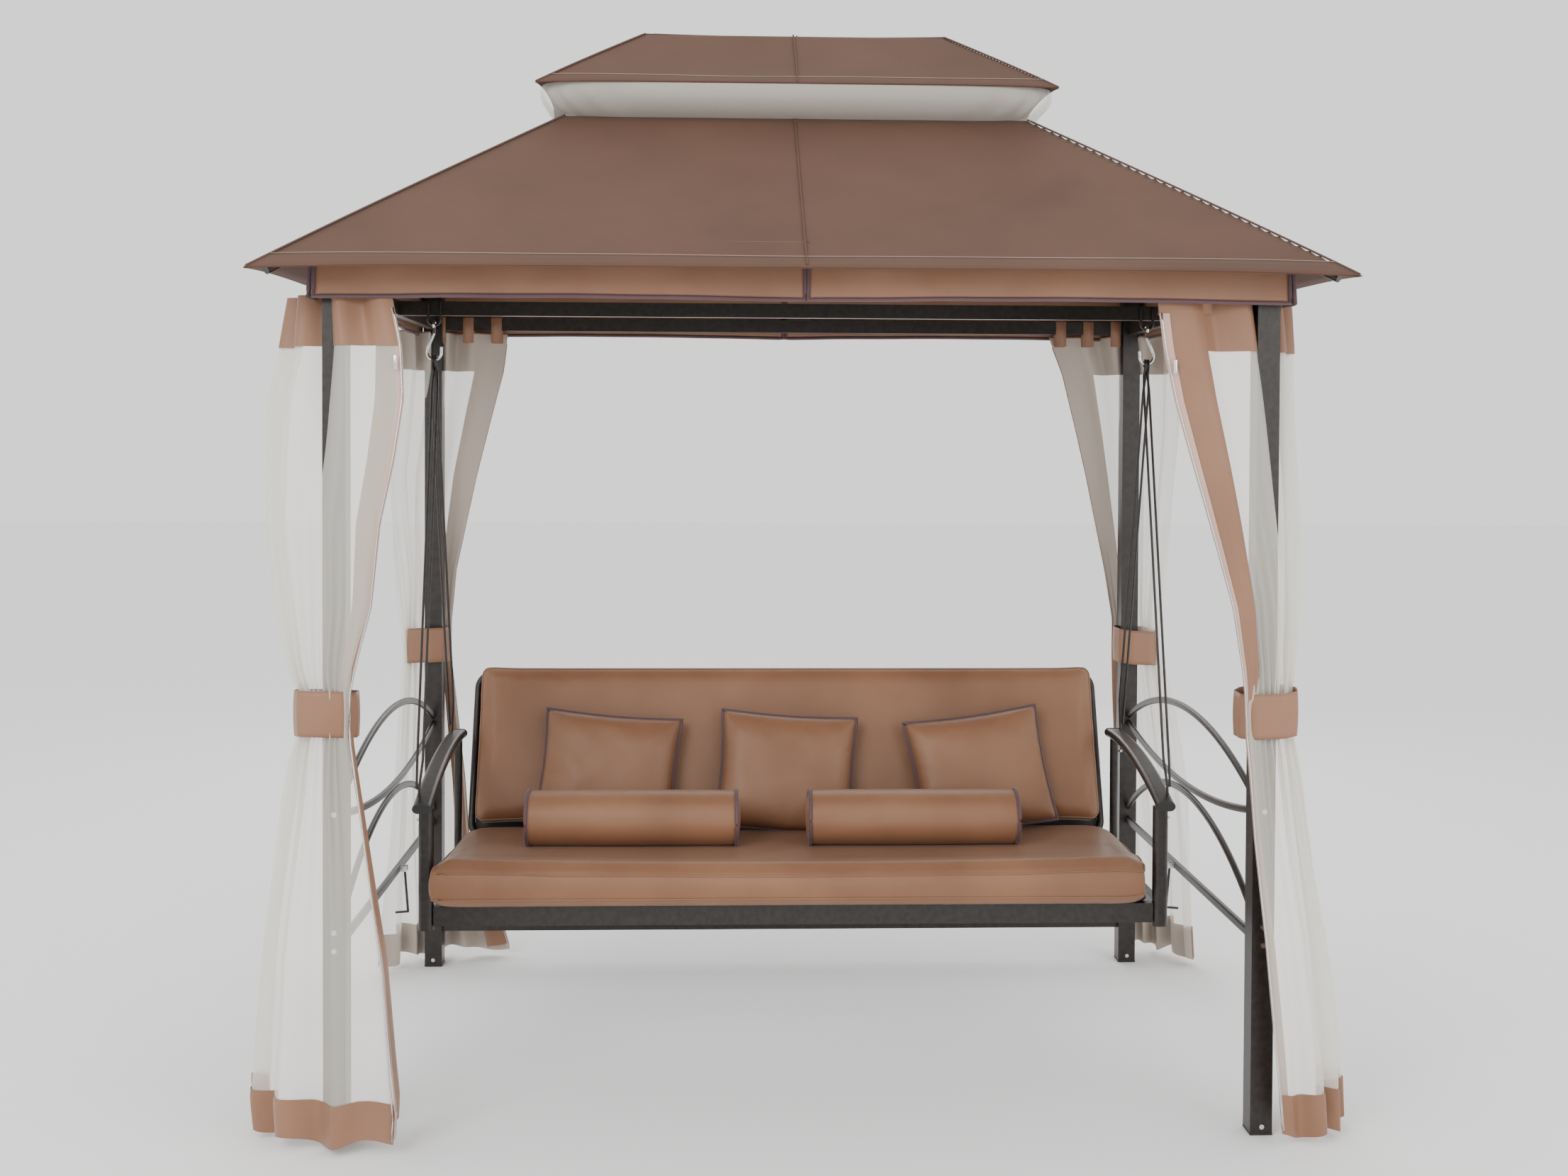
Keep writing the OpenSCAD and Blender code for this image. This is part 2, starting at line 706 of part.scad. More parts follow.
// ---- Backrest: u runs up the back from its hinge, v towards the sitter ----

module on_back() {
    on_bench() translate([0, hinge_y, hinge_z]) rotate([90 - back_lean, 0, 0]) children();
}

back_frame_low = 26;

module back_frame() {
    color(bronze) on_back() union() {
        difference() {
            union() {
                tube_frame(deck_half_x, back_frame_low, back_l, deck_r, deck_d);
                for (sx = [-1, 1]) translate([sx * hinge_x, 0, 0]) {
                    box([0, 14, 0], [12, 28, 20]);
                    rotate([0, 90, 0]) cylinder(h = 12, d = 20, center = true);
                }
            }
            for (sx = [-1, 1]) translate([sx * hinge_x, 0, 0]) rotate([0, 90, 0])
                cylinder(h = 40, d = hinge_pin_d + 2 * pin_gap, center = true);
        }
    }
}

module back_sling() {
    on_back() sling(back_frame_low, back_l);
}

module back_cushion() {
    color(satin_brown) on_back() translate([0, 0, back_pad]) linear_extrude(height = back_cushion_t)
        offset(r = 30) translate([-deck_half_x + 35, back_cushion_low + 30])
        square([2 * deck_half_x - 70, back_cushion_top - back_cushion_low - 60]);
}

// A square pillow: thick in the middle, thin at its edges
module pillow(x, turn) {
    u = 22 + pillow_w * 0.43;
    on_back() translate([x, u, back_pad + back_cushion_t + 62]) rotate([0, 0, turn]) hull() {
        cube([pillow_w, pillow_w * 0.85, 8], center = true);
        cube([pillow_w * 0.55, pillow_w * 0.45, 112], center = true);
    }
}

module pillows() {
    color(satin_brown) {
        pillow(-530, 0);
        pillow(-10, 0);
        pillow(560, 0);
    }
}

front_left_post();
front_right_post();
rear_left_post();
rear_right_post();
post_feet();
front_top_beam();
rear_top_beam();
left_top_beam();
right_top_beam();
hanger_beam();
left_hanger_loop();
right_hanger_loop();
rear_lower_rail();
left_side_bars();
right_side_bars();
left_side_rail();
right_side_rail();
hip_poles();
vent_ring();
upper_hip_poles();
ridge_pole();
lower_canopy();
vent_mesh();
upper_canopy();
front_valance();
rear_valance();
left_valance();
right_valance();
front_left_curtain();
front_right_curtain();
rear_left_curtain();
rear_right_curtain();
curtain_ties();
frame_bolts();
lock_rod_bolts();
left_hook();
right_hook();
left_lock_rod();
right_lock_rod();
left_front_link();
left_rear_link();
right_front_link();
right_rear_link();
left_arm();
right_arm();
arm_end_caps();
arm_posts();
front_rail();
rear_rail();
bench_side_rails();
bench_bolts();
seat_frame();
seat_sling();
seat_cushion();
bolsters();
back_frame();
back_sling();
back_cushion();
pillows();
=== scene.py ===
"""A hanging garden swing bench under a two-tier canopy, with its net curtains, cushions and pillows."""

import json
import math

import bmesh
import bpy
from mathutils import Matrix, Vector, noise


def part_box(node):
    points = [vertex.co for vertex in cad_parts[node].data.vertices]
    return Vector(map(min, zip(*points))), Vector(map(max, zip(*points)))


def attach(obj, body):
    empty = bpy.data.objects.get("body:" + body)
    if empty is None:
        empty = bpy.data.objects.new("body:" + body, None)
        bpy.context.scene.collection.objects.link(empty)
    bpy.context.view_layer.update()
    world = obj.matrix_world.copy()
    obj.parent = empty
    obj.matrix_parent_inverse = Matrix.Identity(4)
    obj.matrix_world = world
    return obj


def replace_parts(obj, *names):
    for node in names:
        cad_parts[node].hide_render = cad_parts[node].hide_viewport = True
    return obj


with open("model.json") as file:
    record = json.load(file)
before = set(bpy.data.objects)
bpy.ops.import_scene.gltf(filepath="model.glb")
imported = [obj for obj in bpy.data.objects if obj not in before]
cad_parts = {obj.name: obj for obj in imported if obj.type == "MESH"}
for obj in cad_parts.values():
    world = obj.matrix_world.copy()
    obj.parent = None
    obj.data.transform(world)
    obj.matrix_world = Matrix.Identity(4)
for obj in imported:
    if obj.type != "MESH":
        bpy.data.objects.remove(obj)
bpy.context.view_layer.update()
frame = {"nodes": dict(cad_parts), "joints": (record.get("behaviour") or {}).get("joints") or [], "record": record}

nodes = frame["nodes"]


# ---- Studio: a pale floor and backdrop, soft lights, and a camera at standing eye height ----
# The camera stands a little left of the middle, 4.6 m before the swing, and looks almost level.
# The lens is shifted down, which keeps the posts upright.

EYE = Vector((-0.198, -4.633, 1.697))
camera = bpy.data.objects.new("camera", bpy.data.cameras.new("camera"))
bpy.context.scene.collection.objects.link(camera)
camera.data.lens = 37.43
camera.data.sensor_width = 36
camera.data.shift_x = 0.003
camera.data.shift_y = -0.0712
camera.location = EYE
camera.rotation_euler = (math.radians(90 - 1.16), math.radians(-0.25), math.radians(-1.96))
bpy.context.scene.camera = camera

world = bpy.data.worlds.new("studio")
bpy.context.scene.world = world
world.use_nodes = True
world.node_tree.nodes["Background"].inputs["Color"].default_value = (1, 0.995, 0.985, 1)
world.node_tree.nodes["Background"].inputs["Strength"].default_value = 1.35


def soft_light(name, place, aim, size, watts):
    lamp = bpy.data.objects.new(name, bpy.data.lights.new(name, "AREA"))
    lamp.data.size = size
    lamp.data.energy = watts
    lamp.location = place
    lamp.rotation_euler = (Vector(aim) - Vector(place)).to_track_quat("-Z", "Y").to_euler()
    bpy.context.scene.collection.objects.link(lamp)


soft_light("key", (-3.2, -5.4, 4.3), (0, 0, 1.1), 3.0, 190)
soft_light("fill", (4.0, -4.8, 2.6), (0, 0, 1.0), 3.5, 95)
soft_light("rim", (0.5, 4.5, 3.6), (0, 0, 1.3), 3.0, 80)

floor_mesh = bmesh.new()
bmesh.ops.create_grid(floor_mesh, x_segments=1, y_segments=1, size=30)
floor_data = bpy.data.meshes.new("floor")
floor_mesh.to_mesh(floor_data)
floor_mesh.free()
floor = bpy.data.objects.new("floor", floor_data)
bpy.context.scene.collection.objects.link(floor)
floor.location.z = -0.001
pale = bpy.data.materials.new("pale_floor")
pale.use_nodes = True
pale.node_tree.nodes["Principled BSDF"].inputs["Base Color"].default_value = (0.93, 0.93, 0.93, 1)
pale.node_tree.nodes["Principled BSDF"].inputs["Roughness"].default_value = 0.9
floor.data.materials.append(pale)


# ---- Steel frame: welded and bolted tubes in dark bronze hammered powder coat ----
# Posts, top beams, side bars, roof poles, the bench's arms and rails and the long links all
# come straight from the press shop with one coat, which pools into small dimples.

def finish(name, colour, roughness, metallic=0.0, **sockets):
    """A new material with a Principled node, and a helper that adds nodes to it."""
    made = bpy.data.materials.new(name)
    made.use_nodes = True
    tree = made.node_tree
    shader = tree.nodes["Principled BSDF"]
    shader.inputs["Base Color"].default_value = (*colour, 1)
    shader.inputs["Roughness"].default_value = roughness
    shader.inputs["Metallic"].default_value = metallic
    for socket, value in sockets.items():
        shader.inputs[socket.replace("_", " ")].default_value = value
    return made, tree, shader


def place_of(tree, scale=(1, 1, 1)):
    """Object coordinates through a Mapping node."""
    where = tree.nodes.new("ShaderNodeTexCoord")
    mapping = tree.nodes.new("ShaderNodeMapping")
    mapping.inputs["Scale"].default_value = scale
    tree.links.new(where.outputs["Object"], mapping.inputs["Vector"])
    return mapping.outputs["Vector"]


def pattern(tree, kind, vector, scale, **sockets):
    made = tree.nodes.new(kind)
    tree.links.new(vector, made.inputs["Vector"])
    made.inputs["Scale"].default_value = scale
    for socket, value in sockets.items():
        made.inputs[socket].default_value = value
    return made


def two_tone(tree, shader, factor, dark, light, low=0.35, high=0.65):
    """Colours the surface between two tones by a pattern."""
    ramp = tree.nodes.new("ShaderNodeValToRGB")
    ramp.color_ramp.elements[0].position = low
    ramp.color_ramp.elements[1].position = high
    ramp.color_ramp.elements[0].color = (*dark, 1)
    ramp.color_ramp.elements[1].color = (*light, 1)
    tree.links.new(factor, ramp.inputs["Fac"])
    tree.links.new(ramp.outputs["Color"], shader.inputs["Base Color"])
    return ramp


def raise_by(tree, shader, height, strength, distance, before=None):
    bump = tree.nodes.new("ShaderNodeBump")
    bump.inputs["Strength"].default_value = strength
    bump.inputs["Distance"].default_value = distance
    tree.links.new(height, bump.inputs["Height"])
    if before is not None:
        tree.links.new(before, bump.inputs["Normal"])
    tree.links.new(bump.outputs["Normal"], shader.inputs["Normal"])
    return bump.outputs["Normal"]


bronze, tree, shader = finish("bronze_hammered_coat", (0.028, 0.021, 0.018), 0.36, 0.25,
                              Coat_Weight=0.12, Coat_Roughness=0.3)
dimples = pattern(tree, "ShaderNodeTexVoronoi", place_of(tree), 420)
mottle = pattern(tree, "ShaderNodeTexNoise", place_of(tree), 60, Detail=4.0)
two_tone(tree, shader, mottle.outputs["Fac"], (0.012, 0.009, 0.008), (0.024, 0.018, 0.015))
raise_by(tree, shader, dimples.outputs["Distance"], 0.35, 0.0008)

black_plastic, tree, shader = finish("black_end_cap_plastic", (0.012, 0.012, 0.012), 0.5)
grain = pattern(tree, "ShaderNodeTexNoise", place_of(tree), 900, Detail=2.0)
two_tone(tree, shader, grain.outputs["Fac"], (0.010, 0.010, 0.010), (0.018, 0.018, 0.018))
raise_by(tree, shader, grain.outputs["Fac"], 0.2, 0.0004)

zinc, tree, shader = finish("zinc_plate", (0.62, 0.64, 0.64), 0.26, 1.0)
streaks = pattern(tree, "ShaderNodeTexNoise", place_of(tree, (1, 1, 0.2)), 300, Detail=3.0)
two_tone(tree, shader, streaks.outputs["Fac"], (0.50, 0.52, 0.52), (0.74, 0.75, 0.75))
raise_by(tree, shader, streaks.outputs["Fac"], 0.12, 0.0003)

black_steel, tree, shader = finish("black_rod_coat", (0.015, 0.015, 0.015), 0.34, 0.2)
rubbed = pattern(tree, "ShaderNodeTexNoise", place_of(tree), 130, Detail=4.0)
two_tone(tree, shader, rubbed.outputs["Fac"], (0.011, 0.011, 0.011), (0.028, 0.027, 0.026))
raise_by(tree, shader, rubbed.outputs["Fac"], 0.15, 0.0004)

coats = {"bronze_steel": bronze, "black_steel": black_steel, "zinc_steel": zinc,
         "black_plastic": black_plastic}
for part in frame["record"]["subparts"]:
    if part["material_slot"] in coats:
        steel = nodes[part["node"]]
        steel.data.materials.clear()
        steel.data.materials.append(coats[part["material_slot"]])


# ---- Canopy: two hipped roofs of coated polyester, stretched over the poles ----
# Each tier is sewn from four panels with a seam down the middle of the long sides; the cloth
# sags a little between the poles and its eaves end in a turned hem with a stitched pole pocket.

def shown(name, mesh_maker, material, body, smooth=True):
    """Makes an object of a bmesh, with its material and body."""
    data = bpy.data.meshes.new(name)
    mesh_maker.to_mesh(data)
    mesh_maker.free()
    piece = bpy.data.objects.new(name, data)
    bpy.context.scene.collection.objects.link(piece)
    piece.data.materials.append(material)
    if smooth:
        piece.data.polygons.foreach_set("use_smooth", [True] * len(piece.data.polygons))
    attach(piece, body)
    return piece


def cloth_grid(across, along, place):
    """A grid of across by along quads, each point moved to place(u, v) with u and v from 0 to 1."""
    made = bmesh.new()
    bmesh.ops.create_grid(made, x_segments=across, y_segments=along, size=1)
    for point in made.verts:
        point.co = place((point.co.x + 1) / 2, (point.co.y + 1) / 2)
    return made


def steps(start, stop, count):
    return [start + (stop - start) * k / count for k in range(count + 1)]


def face_up(made):
    """Turns an open sheet so that it faces mostly upwards."""
    bmesh.ops.recalc_face_normals(made, faces=made.faces)
    if sum(face.normal.z for face in made.faces) < 0:
        bmesh.ops.reverse_faces(made, faces=made.faces)


def thicken(piece, thickness, offset=-1.0):
    solid = piece.modifiers.new("cloth thickness", "SOLIDIFY")
    solid.thickness = thickness
    solid.offset = offset
    return piece


def tube_along(name, path, radius, material, body, sides=6):
    """A thin round bead along a list of points, such as piping or a row of stitches."""
    made = bmesh.new()
    ring = bmesh.ops.create_circle(made, segments=sides, radius=radius)["verts"]
    rings = []
    for index, point in enumerate(path):
        ahead = path[min(index + 1, len(path) - 1)] - path[max(index - 1, 0)]
        turn = ahead.to_track_quat("Z", "Y").to_matrix().to_4x4()
        if index:
            ring = [made.verts.new((radius * math.cos(2 * math.pi * k / sides),
                                    radius * math.sin(2 * math.pi * k / sides), 0))
                    for k in range(sides)]
        bmesh.ops.transform(made, matrix=Matrix.Translation(point) @ turn, verts=ring)
        rings.append(ring)
    for low, high in zip(rings, rings[1:]):
        for k in range(sides):
            made.faces.new((low[k], low[(k + 1) % sides], high[(k + 1) % sides], high[k]))
    for end in (rings[0], rings[-1]):
        if len(set(end)) > 2:
            made.faces.new(end)
    bmesh.ops.recalc_face_normals(made, faces=made.faces)
    return shown(name, made, material, body)


def cloth_finish(name, dark, light, roughness, sheen, weave_mm, crease, crease_depth):
    """Woven polyester: a fine weave, slow colour drift, sheen, and soft creases."""
    made, tree, shader = finish(name, light, roughness, 0.0, Sheen_Weight=sheen,
                                Sheen_Roughness=0.4, Specular_IOR_Level=0.35)
    threads = 1.0 / (weave_mm / 1000)
    drift = pattern(tree, "ShaderNodeTexNoise", place_of(tree, (1, 1, 1)), 3.2, Detail=5.0)
    two_tone(tree, shader, drift.outputs["Fac"], dark, light, 0.3, 0.7)
    weave = pattern(tree, "ShaderNodeTexChecker", place_of(tree), threads)
    normal = raise_by(tree, shader, weave.outputs["Fac"], 0.25, 0.0003)
    folds = pattern(tree, "ShaderNodeTexNoise", place_of(tree, (1, 1, 0.6)), crease, Detail=3.0)
    raise_by(tree, shader, folds.outputs["Fac"], 0.35, crease_depth, normal)
    return made


ROOF_BROWN = (0.110, 0.054, 0.034)
roof_cloth = cloth_finish("roof_polyester", (0.088, 0.043, 0.027), ROOF_BROWN, 0.70, 0.03, 1.4, 5.0, 0.012)
edge_cloth = cloth_finish("roof_edge_tape", (0.085, 0.047, 0.036), (0.105, 0.058, 0.045), 0.65, 0.15,
                          1.0, 40, 0.0005)
piping_cloth = cloth_finish("dark_piping_tape", (0.085, 0.045, 0.052), (0.112, 0.062, 0.070), 0.6, 0.2,
                            1.0, 40, 0.0005)
stitch_thread = cloth_finish("pale_stitching", (0.42, 0.26, 0.18), (0.50, 0.33, 0.24), 0.7, 0.1,
                             0.8, 90, 0.0004)


def roof_place(eave, top, sag, droop, bow):
    """A function from (a, b), each -1 to 1 over the plan, to the point of a hipped roof above it."""
    def place(a, b):
        ring = max(abs(a), abs(b))
        down = (ring - RING_START) / (1 - RING_START)
        hip = min(abs(a), abs(b)) / ring
        slack = 1 - hip ** 2
        pull = 1 - bow * slack * max(down, 0) ** 4
        x = a / ring * (top[0] + (eave[0] - top[0]) * down) * (pull if abs(a) > abs(b) else 1)
        y = b / ring * (top[1] + (eave[1] - top[1]) * down) * (pull if abs(b) > abs(a) else 1)
        z = top[2] + (eave[2] - top[2]) * down - sag * math.sin(math.pi * down) * slack
        z -= droop * down ** 3 * hip ** 6
        z += 0.003 * math.sin(9 * x + 2.3 * y + 1) * math.sin(math.pi * down) * slack
        return Vector((x, y, z))
    return place


RING_START = 0.25
lower_low, lower_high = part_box("lower_canopy")
upper_low, upper_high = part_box("upper_canopy")
vent_low, vent_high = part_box("vent_mesh")
VENT_GROW = 0.044
vent_half = (vent_high.x - VENT_GROW, vent_high.y - VENT_GROW)
lower_roof = roof_place((lower_high.x, lower_high.y, lower_low.z + 0.004), (*vent_half, lower_high.z),
                        0.020, 0.010, 0.010)
upper_roof = roof_place((upper_high.x, upper_high.y, upper_low.z + 0.002), (0.424, 0.004, upper_high.z),
                        0.010, 0.006, 0.020)


def roof_sheet(name, place, node):
    made = bmesh.new()
    bmesh.ops.create_grid(made, x_segments=96, y_segments=96, size=1)
    middle = [face for face in made.faces
              if max(abs(face.calc_center_median().x), abs(face.calc_center_median().y)) < RING_START]
    bmesh.ops.delete(made, geom=middle, context="FACES")
    for point in made.verts:
        point.co = place(point.co.x, point.co.y)
    face_up(made)
    piece = thicken(shown(name, made, roof_cloth, "frame"), 0.0012)
    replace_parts(piece, node)
    return piece


def on_roof(place, a, b, lift=0.002):
    return place(a, b) + Vector((0, 0, lift))


def roof_edges(name, place, eave_band, ridge=False):
    """The hem round the eaves, a bead of piping down each hip, and the seams of the long panels."""
    pieces = []
    around = [(t, -1) for t in steps(-1, 1, 60)] + [(1, t) for t in steps(-1, 1, 40)]
    around += [(t, 1) for t in steps(1, -1, 60)] + [(-1, t) for t in steps(1, -1, 40)]
    rim = cloth_grid(len(around) - 1, 3, lambda u, v: Vector((u, v, 0)))
    for point in rim.verts:
        a, b = around[round(point.co.x * (len(around) - 1))]
        inward = 1 - eave_band * point.co.y
        point.co = on_roof(place, a * inward, b * inward, 0.0022)
    bmesh.ops.remove_doubles(rim, verts=rim.verts, dist=0.0005)
    face_up(rim)
    pieces.append(thicken(shown(name + "_hem", rim, roof_cloth, "frame"), 0.0012))
    for index, (a, b) in enumerate(((-1, -1), (1, -1), (1, 1), (-1, 1))):
        path = [on_roof(place, a * t, b * t, 0.0025) for t in steps(RING_START, 0.995, 60)]
        pieces.append(tube_along(f"{name}_hip_piping_{index}", path, 0.0030, edge_cloth,
                                 "frame"))
    for side in (-1, 1):
        path = [on_roof(place, 0.003 * side, side * t, 0.003) for t in steps(RING_START, 0.99, 60)]
        pieces.append(tube_along(f"{name}_middle_seam_{side + 1}", path, 0.0028, roof_cloth,
                                 "frame"))
    ring = [on_roof(place, a * (1 - eave_band), b * (1 - eave_band), 0.0045) for a, b in around]
    pieces.append(tube_along(name + "_hem_stitches", ring, 0.0007, stitch_thread, "frame", 4))
    if ridge:
        path = [Vector((0.424 * t, 0, upper_high.z + 0.002 - 0.006 * (1 - t * t)))
                for t in steps(-1, 1, 30)]
        pieces.append(tube_along(name + "_ridge_piping", path, 0.0035, edge_cloth, "frame"))
    return pieces


lower_canopy = roof_sheet("lower_canopy_cloth", lower_roof, "lower_canopy")
roof_edges("lower_canopy", lower_roof, 0.052)
upper_canopy = roof_sheet("upper_canopy_cloth", upper_roof, "upper_canopy")
roof_edges("upper_canopy", upper_roof, 0.10, ridge=True)


# ---- Vent: a band of pale net between the two roofs, so that hot air can leave ----
# The net is sewn to both tiers and bellies out a little; the braces of the upper roof show
# through it.

net_cloth = bpy.data.materials.new("cream_net")
net_cloth.use_nodes = True
net_shader = net_cloth.node_tree.nodes["Principled BSDF"]
net_shader.inputs["Base Color"].default_value = (0.90, 0.86, 0.77, 1)
net_shader.inputs["Roughness"].default_value = 0.8
net_shader.inputs["Alpha"].default_value = 0.40


def vent_place(u, v):
    """Round the vent (u) and up it (v): a rounded rectangle that flares to the upper eaves."""
    angle = 2 * math.pi * u
    belly = 0.016 * math.sin(math.pi * v) + 0.003 * math.sin(22 * angle) * math.sin(math.pi * v)
    flare = 0.004 + 0.062 * v ** 0.6 + belly
    x = math.copysign(abs(math.cos(angle)) ** 0.22, math.cos(angle)) * (vent_half[0] + flare)
    y = math.copysign(abs(math.sin(angle)) ** 0.22, math.sin(angle)) * (vent_half[1] + flare)
    return Vector((x, y, vent_low.z - 0.004 + (vent_high.z - vent_low.z + 0.008) * v))


vent = cloth_grid(240, 8, vent_place)
bmesh.ops.remove_doubles(vent, verts=vent.verts, dist=0.0004)
bmesh.ops.recalc_face_normals(vent, faces=vent.faces)
vent_net = shown("vent_net", vent, net_cloth, "frame")
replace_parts(vent_net, "vent_mesh")


# ---- Valances: short satin skirts hanging from the canopy's eaves outside the top beams ----
# The long ones are split in the middle; each is bound with dark piping along its lower edge
# and its ends, and hangs with a few shallow waves.

satin = cloth_finish("satin_polyester", (0.225, 0.112, 0.066), (0.290, 0.150, 0.090), 0.42, 0.12, 1.1,
                     7.0, 0.010)


def valance(name, node, start, end, out, waves):
    """One skirt from start to end along its eave, waving along the outward direction out."""
    low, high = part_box(node)
    run, away = Vector(end) - Vector(start), Vector(out)

    def place(u, v):
        swing = 0.006 * math.sin(waves * 2 * math.pi * u + 1.3) * (1 - v) + 0.003 * math.sin(23 * u) * (1 - v)
        lift = 0.006 * math.sin(math.pi * u) * (1 - v)
        point = Vector(start) + run * u + away * (swing + 0.004 * (1 - v))
        point.z = low.z + lift + (high.z - low.z) * v
        return point
    piece = thicken(shown(name, cloth_grid(90, 10, place), satin, "frame"), 0.0012, 0)
    edge = [place(0, t) for t in steps(1, 0, 8)] + [place(t, 0) for t in steps(0, 1, 90)][1:-1]
    edge += [place(1, t) for t in steps(0, 1, 8)]
    bead = tube_along(name + "_piping", edge, 0.0055, piping_cloth, "frame")
    return piece


SPLIT = 0.004
for name, node, sign in (("front", "front_valance", -1), ("rear", "rear_valance", 1)):
    low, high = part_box(node)
    depth = (low.y + high.y) / 2
    for side, (start, end) in (("left", (low.x, -SPLIT)), ("right", (SPLIT, high.x))):
        skirt = valance(f"{name}_valance_{side}", node, (start, depth, 0), (end, depth, 0), (0, sign, 0), 4)
        if side == "left":
            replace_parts(skirt, node)
for name, node, sign in (("left", "left_valance", -1), ("right", "right_valance", 1)):
    low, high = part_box(node)
    across = (low.x + high.x) / 2
    skirt = valance(name + "_valance_skirt", node, (across, low.y, 0), (across, high.y, 0), (sign, 0, 0), 5)
    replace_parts(skirt, node)


# ---- Curtains: a pleated net at each corner, tied back to its post ----
# A zip tape edge in brown cloth runs down the side that meets the next curtain. A brown band
# with loops hangs each one from the top beams, and a wide brown hem weighs it down.

POST_X, POST_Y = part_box("front_right_post")[0].x + 0.0275, -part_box("front_right_post")[0].y - 0.0275
HEM_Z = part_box("front_right_curtain")[0].z + 0.004
BEAM_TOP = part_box("front_top_beam")[1].z
# Each level is its height, how far the cloth reaches from the post's middle inwards and
# outwards along the long beam, how far in front of the beam, and how far along the side beam.
FRONT_LEFT = ((2.046, .140, .132, .034, .190), (1.93, .165, .150, .045, .180), (1.80, .172, .180, .055, .170),
              (1.65, .150, .184, .062, .150), (1.50, .118, .180, .064, .130), (1.30, .098, .150, .060, .100),
              (1.15, .058, .118, .052, .070), (1.09, .044, .092, .046, .052), (0.99, .044, .092, .046, .052),
              (0.90, .058, .112, .054, .064), (0.64, .100, .154, .074, .092), (0.45, .130, .186, .086, .106),
              (0.20, .150, .208, .098, .120), (0.10, .160, .214, .100, .124), (HEM_Z, .156, .204, .096, .120))
FRONT_RIGHT = ((2.046, .275, .092, .034, .190), (1.93, .262, .096, .045, .180), (1.80, .236, .098, .052, .170),
               (1.65, .195, .100, .058, .150), (1.50, .152, .100, .060, .130), (1.30, .093, .098, .058, .100),
               (1.15, .066, .084, .050, .070), (1.09, .058, .078, .046, .052), (0.99, .054, .080, .046, .052),
               (0.90, .048, .094, .054, .060), (0.74, .038, .124, .062, .080), (0.49, .012, .168, .076, .100),
               (0.20, -.010, .202, .092, .116), (HEM_Z, -.026, .210, .096, .120))
REAR_LEFT = ((2.046, .230, .084, .034, .150), (1.93, .215, .082, .045, .150), (1.79, .177, .096, .052, .140),
             (1.59, .126, .112, .058, .120), (1.28, .060, .088, .055, .085), (1.12, .046, .088, .046, .056),
             (1.00, .044, .084, .046, .052), (0.85, .060, .090, .056, .066), (0.60, .086, .102, .068, .088),
             (0.39, .098, .112, .076, .100), (0.20, .180, .126, .086, .112), (HEM_Z, .232, .134, .092, .120))
REAR_RIGHT = ((2.046, .260, .112, .034, .150), (1.93, .212, .112, .045, .150), (1.75, .165, .106, .052, .140),
              (1.59, .126, .098, .058, .120), (1.28, .062, .086, .055, .085), (1.12, .038, .078, .046, .056),
              (1.00, .036, .092, .046, .052), (0.85, .030, .120, .056, .066), (0.60, .016, .158, .070, .092),
              (0.25, -.008, .190, .086, .112), (HEM_Z, -.016, .198, .092, .120))


def reach_at(levels, z):
    """The four reaches at a height, blended smoothly between the levels."""
    for above, below in zip(levels, levels[1:]):
        if z >= below[0]:
            share = (above[0] - z) / (above[0] - below[0])
            return [p + (q - p) * share for p, q in zip(above[1:], below[1:])]
    return list(levels[-1][1:])


PLEATS = 8
STRIP = 0.17


def curtain_point(levels, sign_x, sign_y, seed, s, z, out=0.0):
    """A point of the curtain: s runs from its free inner edge round the post's outside."""
    inward, outward, ahead, along = reach_at(levels, z)
    start, corner = Vector((-inward, ahead, 0)), Vector((outward, ahead, 0))
    end = Vector((outward, -along, 0))
    spot = start * (1 - s) ** 2 + corner * 2 * s * (1 - s) + end * s * s
    heading = (corner - start) * (1 - s) + (end - corner) * s
    normal = Vector((-heading.y, heading.x, 0)).normalized()
    if normal.dot(Vector((1, 1, 0))) < 0:
        normal.negate()
    tied = math.exp(-((z - 1.04) / 0.10) ** 2)
    near = math.exp(-((z - 1.04) / 0.38) ** 2)
    broad = 0.011 + 0.012 * min(1.0, abs(z - 1.04) / 0.9)
    drift = 1.1 * math.sin(1.7 * z + seed) + 0.5 * math.sin(4.1 * z + 2 * seed)
    wave = math.sin(2 * math.pi * PLEATS * 0.55 * s + drift + 1.4 * math.sin(6 * s + seed))
    fine = math.sin(2 * math.pi * PLEATS * 2.3 * s + 0.6 * drift + 2.0 * math.sin(5 * s + 2 * seed))
    soft = 0.010 * noise.noise(Vector((4 * s + seed, 2.3 * z, seed)))
    ease = min(max((s - STRIP * 0.6) / 0.12, 0.0), 1.0)
    folds = broad * wave * (1 - 0.75 * tied) + 0.0065 * near * fine
    shift = (0.2 + 0.8 * ease) * folds + soft * (1 - tied) + out
    spot += normal * shift + heading.normalized() * 0.006 * near * ease * math.cos(15 * s + seed)
    scallop = 0.012 * math.sin(2 * math.pi * 2.5 * s + seed) * max(0.0, (0.25 - z) / 0.25)
    return Vector((sign_x * (POST_X + spot.x), sign_y * (POST_Y + spot.y), z + scallop))


def face_out(made, sign_x, sign_y):
    """Turns an open sheet so that it faces away from its post."""
    bmesh.ops.recalc_face_normals(made, faces=made.faces)
    middle = Vector((sign_x * POST_X, sign_y * POST_Y, 0))
    outward = sum(face.normal.dot((face.calc_center_median() - middle) * Vector((1, 1, 0)))
                  for face in made.faces)
    if outward < 0:
        bmesh.ops.reverse_faces(made, faces=made.faces)


def curtain_strip(name, shape, z_range, grid, material):
    """A band of cloth across the whole net between two heights, laid just outside it."""
    def place(u, v):
        return curtain_point(*shape, u, z_range[0] + (z_range[1] - z_range[0]) * v, BAND_LIFT)
    made = cloth_grid(*grid, place)
    face_out(made, shape[1], shape[2])
    return shown(name, made, material, "frame")


